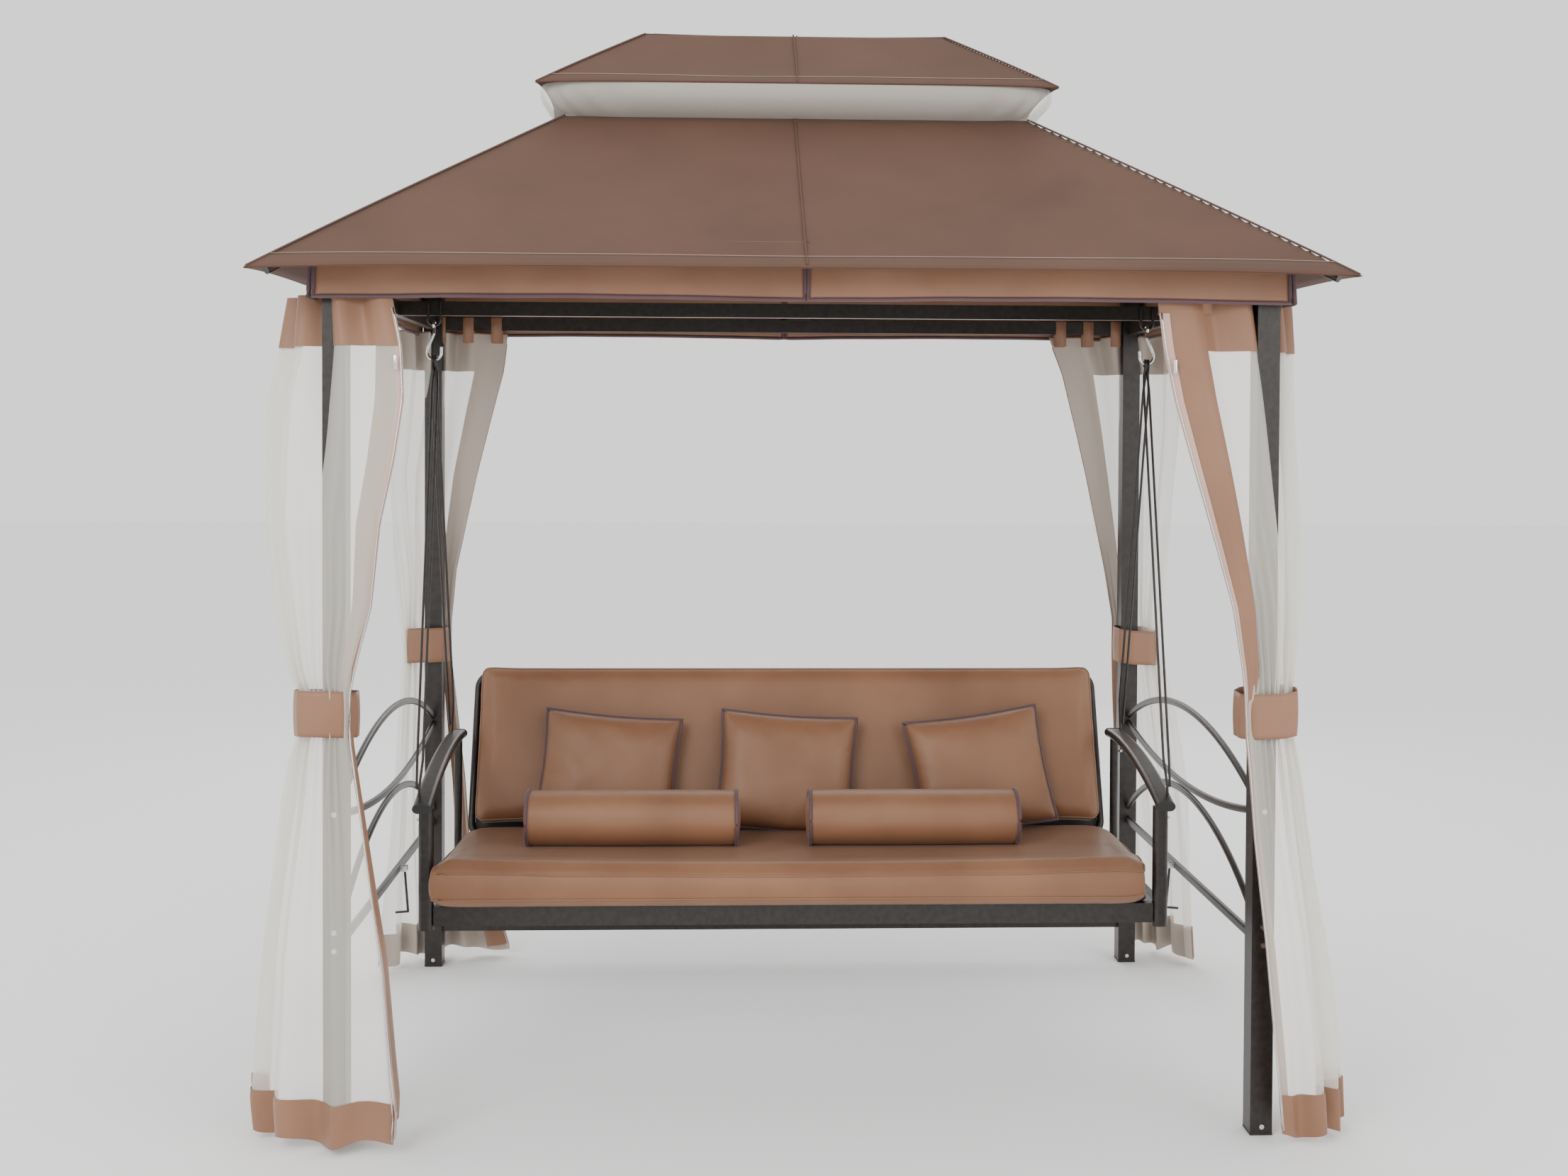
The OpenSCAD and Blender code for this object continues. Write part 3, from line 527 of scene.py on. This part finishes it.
def strip_point(shape, turn, u, z, out):
    """A point of the edge strip: turn 0 lies along the net, and turn 1 runs back behind its edge."""
    along = curtain_point(*shape, STRIP * u, z, out)
    if turn == 0:
        return along
    edge, far = curtain_point(*shape, 0, z, out), curtain_point(*shape, STRIP, z, out)
    sign_x, sign_y = shape[1], shape[2]
    width = max((far - edge).length, 0.05)
    back = edge + Vector((sign_x * 0.12 * u, -sign_y * u, 0)) * width
    back.x += 0.005 * math.sin(7 * u + 5 * z)
    return along.lerp(back, turn)


zip_tape = cloth_finish("zip_tape", (0.50, 0.32, 0.26), (0.60, 0.40, 0.33), 0.6, 0.1, 2.2, 60, 0.0004)
pull_metal, tree, shader = finish("zip_pull_metal", (0.70, 0.70, 0.70), 0.25, 1.0)
scuffs = pattern(tree, "ShaderNodeTexNoise", place_of(tree), 400, Detail=3.0)
two_tone(tree, shader, scuffs.outputs["Fac"], (0.55, 0.55, 0.55), (0.78, 0.78, 0.77))

TOP_BAND = 0.120
BAND_LIFT = 0.003
HEM_BAND = 0.100
LOOP_WIDTH = 0.034
# A corner's name, levels, signs of x and y, seed, and how far its strip is turned above and
# below the tie.
CORNERS = (("front_left", FRONT_LEFT, -1, -1, 0.4, 0.35, 1.0),
           ("front_right", FRONT_RIGHT, 1, -1, 2.1, 0.0, 0.45),
           ("rear_left", REAR_LEFT, -1, 1, 3.7, 0.0, 0.5), ("rear_right", REAR_RIGHT, 1, 1, 5.2, 0.0, 0.6))


def edge_turn(above, below, z):
    share = min(max((1.16 - z) / 0.16, 0.0), 1.0)
    return above + (below - above) * share * share * (3 - 2 * share)


def strip_sheet(name, shape, turns, u_range, z_range, grid, out, material):
    made = cloth_grid(*grid, lambda u, v: Vector((u, v, 0)))
    for point in made.verts:
        z = z_range[0] + (z_range[1] - z_range[0]) * point.co.y
        u = u_range[0] + (u_range[1] - u_range[0]) * point.co.x
        point.co = strip_point(shape, edge_turn(*turns, z), u, z, out)
    face_out(made, shape[1], shape[2])
    return shown(name, made, material, "frame")


for corner, levels, sx, sy, seed, above, below in CORNERS:
    top = levels[0][0]
    shape = (levels, sx, sy, seed)
    made = cloth_grid(170, 64, lambda u, v: curtain_point(*shape, u, HEM_Z + (top - HEM_Z) * v))
    face_out(made, sx, sy)
    net = shown(corner + "_net", made, net_cloth, "frame")
    trims = [
        curtain_strip(corner + "_top_band", shape, (top - TOP_BAND, top + 0.004), (170, 8), satin),
        curtain_strip(corner + "_hem_band", shape, (HEM_Z, HEM_Z + HEM_BAND), (170, 5), satin),
        strip_sheet(corner + "_edge_strip", shape, (above, below), (0, 1), (HEM_Z + 0.02, top - 0.02),
                    (14, 64), 0.0045, satin),
        strip_sheet(corner + "_zip_tape", shape, (above, below), (-0.02, 0.18),
                    (HEM_Z + 0.01, top - 0.03), (4, 64), 0.0065, zip_tape),
    ]
    trims.append(tube_along(corner + "_zip_teeth", [curtain_point(*shape, 0.004, z, 0.008)
                                                   for z in steps(HEM_Z + 0.01, top - 0.03, 80)],
                            0.0022, pull_metal, "frame"))
    grip = curtain_point(*shape, 0.02, top - 0.16, 0.016)
    tab = bmesh.new()
    bmesh.ops.create_cube(tab, size=1)
    bmesh.ops.scale(tab, vec=(0.009, 0.003, 0.034), verts=tab.verts)
    bmesh.ops.bevel(tab, geom=tab.edges[:], offset=0.001, segments=2, profile=0.5, affect="EDGES",
                    material=-1)
    bmesh.ops.translate(tab, vec=grip, verts=tab.verts)
    trims.append(shown(corner + "_zip_pull", tab, pull_metal, "frame"))
    for index, inset in enumerate((0.03, 0.12, 0.21)):
        if inset > levels[0][1] - 0.02:
            continue
        x = sx * (POST_X - levels[0][1] + inset)
        half_beam, hug = 0.0125, 0.003
        path = [(1, top - 0.03), (1, BEAM_TOP), (0.8, BEAM_TOP + hug), (-0.8, BEAM_TOP + hug),
                (-1, BEAM_TOP), (-1, top - 0.03)]
        loop = cloth_grid(2, len(path) - 1, lambda u, v: Vector((u, v, 0)))
        for point in loop.verts:
            across, z = path[round(point.co.y * (len(path) - 1))]
            point.co = Vector((x + (point.co.x - 0.5) * LOOP_WIDTH,
                               sy * POST_Y + sy * across * (half_beam + hug), z))
        face_out(loop, 0, sy)
        strap = shown(f"{corner}_beam_loop_{index}", loop, satin, "frame")
        trims.append(thicken(strap, 0.0012, 0))
    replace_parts(net, corner + "_curtain")


# ---- Curtain ties: satin bands that hold each gathered curtain to its post ----
# A strip about 110 mm wide goes once round the bundle, bulges over the folds and is fastened
# at the back.

tie_low, tie_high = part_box("curtain_ties")
first_tie = None
for corner, levels, sx, sy, seed, above, below in CORNERS:
    inward, outward, ahead, along = reach_at(levels, 1.04)

    def tie_place(u, v):
        angle = 2 * math.pi * u
        c, s = math.cos(angle), math.sin(angle)
        folds = 1 + 0.02 * math.sin(9 * angle + seed) + 0.03 * math.sin(math.pi * v)
        half_x, half_y = (inward + outward) / 2 + 0.006, (ahead + along) / 2 + 0.006
        x = math.copysign(abs(c) ** 0.75, c) * half_x * folds + (outward - inward) / 2
        y = math.copysign(abs(s) ** 0.75, s) * half_y * folds + (ahead - along) / 2
        z = tie_low.z + (tie_high.z - tie_low.z) * v + 0.006 * math.sin(angle + seed)
        return Vector((sx * (POST_X + x), sy * (POST_Y + y), z))
    made = cloth_grid(72, 8, tie_place)
    bmesh.ops.remove_doubles(made, verts=made.verts, dist=0.0004)
    bmesh.ops.recalc_face_normals(made, faces=made.faces)
    band = thicken(shown(corner + "_tie_band", made, satin, "frame"), 0.0015, 0)
    if first_tie is None:
        first_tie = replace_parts(band, "curtain_ties")


# ---- Slings: black mesh sheets laced over the bench's seat and back frames ----
# They carry the cushions, so they are stretched with a slight dip, and show only from behind
# and below.

sling_cloth, tree, shader = finish("black_sling_mesh", (0.020, 0.019, 0.018), 0.65, 0.0, Sheen_Weight=0.1)
mesh_grid = pattern(tree, "ShaderNodeTexVoronoi", place_of(tree), 500)
two_tone(tree, shader, mesh_grid.outputs["Distance"], (0.010, 0.010, 0.010), (0.034, 0.032, 0.031))
raise_by(tree, shader, mesh_grid.outputs["Distance"], 0.5, 0.0006)

low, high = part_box("seat_sling")
seat_sling = thicken(shown("seat_sling_mesh", cloth_grid(40, 16, lambda u, v: Vector((
    low.x + (high.x - low.x) * u, low.y + (high.y - low.y) * v,
    low.z + 0.001 - 0.010 * math.sin(math.pi * u) * math.sin(math.pi * v)))),
    sling_cloth, "bench"), 0.002)
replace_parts(seat_sling, "seat_sling")

HINGE = next(joint for joint in frame["joints"] if joint["name"] == "back_recline")
hinge_at = Vector(HINGE["pos_m"])
LEAN = math.radians(20)
up_back = Vector((0, math.sin(LEAN), math.cos(LEAN)))
out_back = Vector((0, -math.cos(LEAN), math.sin(LEAN)))


def on_back(x, up, out):
    """A point of the leaning back: up along it from the hinge, and out from it to the front."""
    return Vector((x, hinge_at.y, hinge_at.z)) + up_back * up + out_back * out


back_low, back_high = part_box("back_sling")
SLING_UP = (0.047, 0.500)
back_sling = thicken(shown("back_sling_mesh", cloth_grid(40, 16, lambda u, v: on_back(
    back_low.x + (back_high.x - back_low.x) * u, SLING_UP[0] + (SLING_UP[1] - SLING_UP[0]) * v,
    0.001 - 0.008 * math.sin(math.pi * u) * math.sin(math.pi * v))),
    sling_cloth, "backrest"), 0.002)
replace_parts(back_sling, "back_sling")


# ---- Seat cushion: one long boxed foam pad with a rounded front that rolls over the rail ----
# Its border is sewn between two seams, its top is crowned and wrinkles a little across.

cushion_cloth = cloth_finish("satin_cushion_cover", (0.190, 0.088, 0.046), (0.262, 0.128, 0.068), 0.38, 0.08,
                             1.0, 9.0, 0.006)


def inflate(piece, pressure, cap, voxel=0.006, hold=None):
    """Fills a pad by cloth pressure, keeping each point within cap of where it began."""
    remesh = piece.modifiers.new("even mesh", "REMESH")
    remesh.mode = "VOXEL"
    remesh.voxel_size = voxel
    bpy.context.view_layer.objects.active = piece
    apply_all(piece)
    start = [point.co.copy() for point in piece.data.vertices]
    cloth = piece.modifiers.new("filling", "CLOTH")
    cloth.settings.use_pressure = True
    cloth.settings.uniform_pressure_force = pressure
    cloth.settings.effector_weights.gravity = 0
    cloth.settings.quality = 4
    cloth.settings.mass = 0.3
    cloth.settings.tension_stiffness = 18
    cloth.settings.compression_stiffness = 12
    cloth.settings.bending_stiffness = 1.2
    cloth.collision_settings.use_collision = False
    cloth.point_cache.frame_end = 20
    for moment in range(1, 21):
        bpy.context.scene.frame_set(moment)
    apply_all(piece)
    bpy.context.scene.frame_set(1)
    for point, was in zip(piece.data.vertices, start):
        moved = point.co - was
        if moved.length > cap:
            point.co = was + moved * (cap / moved.length)
        if hold is not None:
            point.co = hold(point.co, was)
    return finish_pad(piece)


def apply_all(piece):
    """Puts what the modifiers make into the mesh and removes them."""
    graph = bpy.context.evaluated_depsgraph_get()
    made = bpy.data.meshes.new_from_object(piece.evaluated_get(graph))
    piece.modifiers.clear()
    old, piece.data = piece.data, made
    bpy.data.meshes.remove(old)


def finish_pad(piece):
    smooth = piece.modifiers.new("soften", "SMOOTH")
    smooth.factor = 0.5
    smooth.iterations = 3
    apply_all(piece)
    piece.data.polygons.foreach_set("use_smooth", [True] * len(piece.data.polygons))
    return piece


def boxed(name, size, centre, turn, rounding, material, body):
    """A closed pad: a rounded box of that size, moved to its place by a matrix."""
    made = bmesh.new()
    bmesh.ops.create_cube(made, size=1)
    bmesh.ops.scale(made, vec=size, verts=made.verts)
    bmesh.ops.bevel(made, geom=made.edges[:], offset=rounding, segments=5, profile=0.5,
                    affect="EDGES", material=-1)
    bmesh.ops.transform(made, matrix=Matrix.Translation(centre) @ turn, verts=made.verts)
    return shown(name, made, material, body)


def to_surface(piece, points, lift):
    """Each point moved to the nearest spot of a piece, and lifted off it."""
    placed = []
    for point in points:
        found, spot, normal, _ = piece.closest_point_on_mesh(point)
        placed.append(spot + normal * lift)
    return placed


def loop_seam(name, piece, points, radius, material, body, lift=0.0):
    """A bead of piping or a sewn ridge laid on a pad round a closed loop."""
    return tube_along(name, to_surface(piece, points + points[:1], lift), radius, material, body)


seat_low, seat_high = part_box("seat_cushion")
SEAT_TOP = 0.568
NOSE_SHIFT = -0.020
seat = bmesh.new()
profile = [(seat_low.y + 0.030, 0.470), (seat_low.y + 0.004, 0.492), (seat_low.y - 0.006, 0.535),
           (seat_low.y + 0.006, 0.574), (seat_low.y + 0.040, 0.590), (seat_low.y + 0.10, 0.582),
           (seat_low.y + 0.30, SEAT_TOP), (seat_high.y - 0.080, SEAT_TOP - 0.002),
           (seat_high.y - 0.008, 0.532),
           (seat_high.y - 0.004, 0.510), (seat_high.y - 0.030, 0.489), (seat_low.y + 0.12, 0.489),
           (seat_low.y + 0.075, 0.480)]
outline = [seat.verts.new((seat_low.x + 0.004, y, z)) for y, z in profile]
end_face = seat.faces.new(outline)
SLICES = 48
grown = [end_face]
for index in range(SLICES):
    result = bmesh.ops.extrude_face_region(seat, geom=grown)
    grown = [part for part in result["geom"] if isinstance(part, bmesh.types.BMFace)]
    moved = [part for part in result["geom"] if isinstance(part, bmesh.types.BMVert)]
    bmesh.ops.translate(seat, vec=((seat_high.x - seat_low.x - 0.008) / SLICES, 0, 0), verts=moved)
bmesh.ops.recalc_face_normals(seat, faces=seat.faces)
for point in seat.verts:
    across = point.co.x / (seat_high.x - 0.004)
    if point.co.z > 0.55 and point.co.y < seat_low.y + 0.15:
        point.co.z -= 0.013 * (1 - across ** 2)
    corner = max(0.0, abs(across) - 0.93) / 0.07
    point.co.x += NOSE_SHIFT * min(max((seat_low.y + 0.075 - point.co.y) / 0.05, 0.0), 1.0)
    point.co.z += (0.528 - point.co.z) * 0.22 * corner ** 2
seat_cushion = shown("seat_cushion_pad", seat, cushion_cloth, "bench")


def keep_seat(now, was):
    return Vector((min(max(now.x, was.x - 0.004), was.x + 0.004), now.y, max(now.z, was.z - 0.002)))


inflate(seat_cushion, 3.5, 0.010, 0.009, keep_seat)
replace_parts(seat_cushion, "seat_cushion")
for level, height in (("upper", 0.580), ("lower", 0.486)):
    sag = 0.012 if level == "upper" else 0
    border = [Vector((x, seat_low.y - 0.01, height - sag * (1 - (x / seat_high.x) ** 2)))
              for x in steps(seat_low.x + 0.01, seat_high.x - 0.01, 90)]
    side_z = (lambda t: height - 0.03 * t) if level == "upper" else (lambda t: height + 0.006)
    right = [Vector((seat_high.x + 0.01, seat_low.y + (seat_high.y - seat_low.y) * t, side_z(t)))
             for t in steps(0.03, 0.97, 26)]
    back = [Vector((x, seat_high.y + 0.01, side_z(1))) for x in steps(seat_high.x - 0.01, seat_low.x + 0.01, 60)]
    left = [Vector((seat_low.x - 0.01, point.y, point.z)) for point in reversed(right)]
    loop_seam("seat_seam_" + level, seat_cushion, border + right + back + left, 0.0026,
              cushion_cloth, "bench", 0.0006)


# ---- Back cushion: a flat boxed pad that leans on the back sling ----
# It is softer than the seat, so it creases along its lower edge; two seams run round its rim.

pad_low, pad_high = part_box("back_cushion")
BACK_UP, BACK_OUT = (0.050, 0.536), (0.014, 0.114)
tilt = Matrix(((1, 0, 0), (0, up_back.y, out_back.y), (0, up_back.z, out_back.z))).to_4x4()
centre = on_back(0, sum(BACK_UP) / 2, sum(BACK_OUT) / 2)
back_pad = boxed("back_cushion_pad", (pad_high.x - pad_low.x - 0.012, BACK_UP[1] - BACK_UP[0] - 0.012,
                                      BACK_OUT[1] - BACK_OUT[0] - 0.016),
                 centre, tilt, 0.030, cushion_cloth, "backrest")
back_plane = on_back(0, 0, BACK_OUT[0])


def keep_back(now, was):
    behind = (back_plane - now).dot(out_back)
    return now + out_back * max(behind, 0.0)


inflate(back_pad, 3.5, 0.010, 0.009, keep_back)
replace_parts(back_pad, "back_cushion")


def pad_loop(half_x, half_up, radius, out, middle):
    """A rounded rectangle in the back's plane, as a list of points."""
    loop = []
    for cx, cu, start in ((1, 1, 0), (-1, 1, 90), (-1, -1, 180), (1, -1, 270)):
        for k in range(9):
            angle = math.radians(start + k * 11.25)
            loop.append((cx * (half_x - radius) + radius * math.cos(angle),
                         cu * (half_up - radius) + radius * math.sin(angle)))
    filled = []
    for (ax, au), (bx, bu) in zip(loop, loop[1:] + loop[:1]):
        count = max(1, int(math.hypot(bx - ax, bu - au) / 0.02))
        filled += [(ax + (bx - ax) * k / count, au + (bu - au) * k / count) for k in range(count)]
    return [on_back(x, middle + up, out) for x, up in filled]


for level, out in (("front", BACK_OUT[1] - 0.012), ("rear", BACK_OUT[0] + 0.012)):
    points = pad_loop(pad_high.x + 0.004, (BACK_UP[1] - BACK_UP[0]) / 2 + 0.004, 0.04, out, sum(BACK_UP) / 2)
    loop_seam("back_seam_" + level, back_pad, points, 0.0026, cushion_cloth, "backrest", 0.0006)


# ---- Pillows: three loose square ones with dark piping, propped against the back cushion ----
# Each is two panels sewn round the edge and filled, so it is fat in the middle, its sides pull
# in and its corners stick out; the right one has slipped round a little.

PILLOWS = (("left", -0.530, 5.0, 0.0), ("middle", -0.010, 4.0, 1.0), ("right", 0.560, -8.0, 2.0))
PILLOW_UP, PILLOW_OUT, PILLOW_W, PILLOW_H, PILLOW_T = 0.194, 0.176, 0.400, 0.340, 0.112
for name, x, spin, seed in PILLOWS:
    turn = Matrix.Rotation(math.radians(-spin), 3, out_back)

    def pillow_place(a, b, side):
        """a and b, each -1 to 1, over one panel; side is 1 for the front panel and -1 for the rear."""
        pull = 1 - 0.055 * (1 - b * b) * a * a, 1 - 0.055 * (1 - a * a) * b * b
        fill = (max(0.0, (1 - a ** 4) * (1 - b ** 4))) ** 0.42
        flat = 0.62 if side < 0 else 1.0
        crease = 0.004 * noise.noise(Vector((3 * a, 3 * b, seed * 7 + side))) * fill
        reach = max(abs(a), abs(b))
        radial = 0.0022 * math.sin(26 * math.atan2(b, a) + seed) * (reach ** 6) * (1 - reach ** 12)
        offset = side * flat * fill * PILLOW_T / 2 + crease + radial
        local = Vector((a * pull[0] * PILLOW_W / 2, b * pull[1] * PILLOW_H / 2, offset - 0.006 * (1 - fill)))
        sag = -0.010 * (1 - b) * 0.5 * (1 - abs(a))
        return (on_back(x, PILLOW_UP, PILLOW_OUT - 0.005)
                + turn @ (Vector((1, 0, 0)) * local.x + up_back * (local.y + sag) + out_back * local.z))
    halves = bmesh.new()
    for side in (1, -1):
        panel = bmesh.ops.create_grid(halves, x_segments=44, y_segments=38, size=1)["verts"]
        for point in panel:
            point.co = pillow_place(point.co.x, point.co.y, side)
    bmesh.ops.remove_doubles(halves, verts=halves.verts, dist=0.0003)
    bmesh.ops.recalc_face_normals(halves, faces=halves.faces)
    pillow = shown(f"pillow_{name}", halves, cushion_cloth, "backrest")
    edge = [(t, -1) for t in steps(-1, 1, 34)][:-1] + [(1, t) for t in steps(-1, 1, 30)][:-1]
    edge += [(t, 1) for t in steps(1, -1, 34)][:-1] + [(-1, t) for t in steps(1, -1, 30)]
    tube_along(f"pillow_{name}_piping", [pillow_place(a, b, 1) for a, b in edge], 0.0055,
               piping_cloth, "backrest", 8)
    if name == "left":
        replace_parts(pillow, "pillows")


# ---- Bolsters: two round pillows lying on the seat, piped round both ends ----
# A rolled sleeve closed by two gathered discs; each sags a little under its own weight.

bolster_low, bolster_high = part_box("bolsters")
BOLSTER_R, BOLSTER_L = (bolster_high.z - bolster_low.z) / 2, 0.590
bolster_y, bolster_z = (bolster_low.y + bolster_high.y) / 2, (bolster_low.z + bolster_high.z) / 2
for name, x, seed in (("left", bolster_low.x + BOLSTER_L / 2, 0.0),
                      ("right", bolster_high.x - BOLSTER_L / 2, 2.0)):
    def bolster_place(u, v):
        """u along it from end to end through both discs, v round it."""
        angle = 2 * math.pi * v
        if u < 0.15:
            radius, along = BOLSTER_R * (u / 0.15), -0.5 - 0.020 * (1 - (u / 0.15) ** 2)
        elif u > 0.85:
            radius, along = BOLSTER_R * ((1 - u) / 0.15), 0.5 + 0.020 * (1 - ((1 - u) / 0.15) ** 2)
        else:
            radius, along = BOLSTER_R, (u - 0.5) / 0.7
        middle = 1 - (2 * along) ** 2 if abs(along) < 0.5 else 0
        dent = noise.noise(Vector((6 * u, 2 * math.cos(angle), 2 * math.sin(angle) + seed)))
        radius *= 1 + 0.018 * middle + 0.010 * dent
        y, z = radius * math.cos(angle), radius * math.sin(angle)
        z = max(z, -BOLSTER_R * 0.975) - 0.002
        return Vector((x + along * (BOLSTER_L - 0.012), bolster_y + y, bolster_z + z))
    sleeve = cloth_grid(60, 48, bolster_place)
    bmesh.ops.remove_doubles(sleeve, verts=sleeve.verts, dist=0.0003)
    bmesh.ops.recalc_face_normals(sleeve, faces=sleeve.faces)
    bolster = shown(f"bolster_{name}", sleeve, cushion_cloth, "bench")
    for end, u in (("inner", 0.15), ("outer", 0.85)):
        ring = [bolster_place(u, t) for t in steps(0, 1, 48)]
        tube_along(f"bolster_{name}_{end}_piping", ring, 0.0052, piping_cloth, "bench", 8)
    if name == "left":
        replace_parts(bolster, "bolsters")
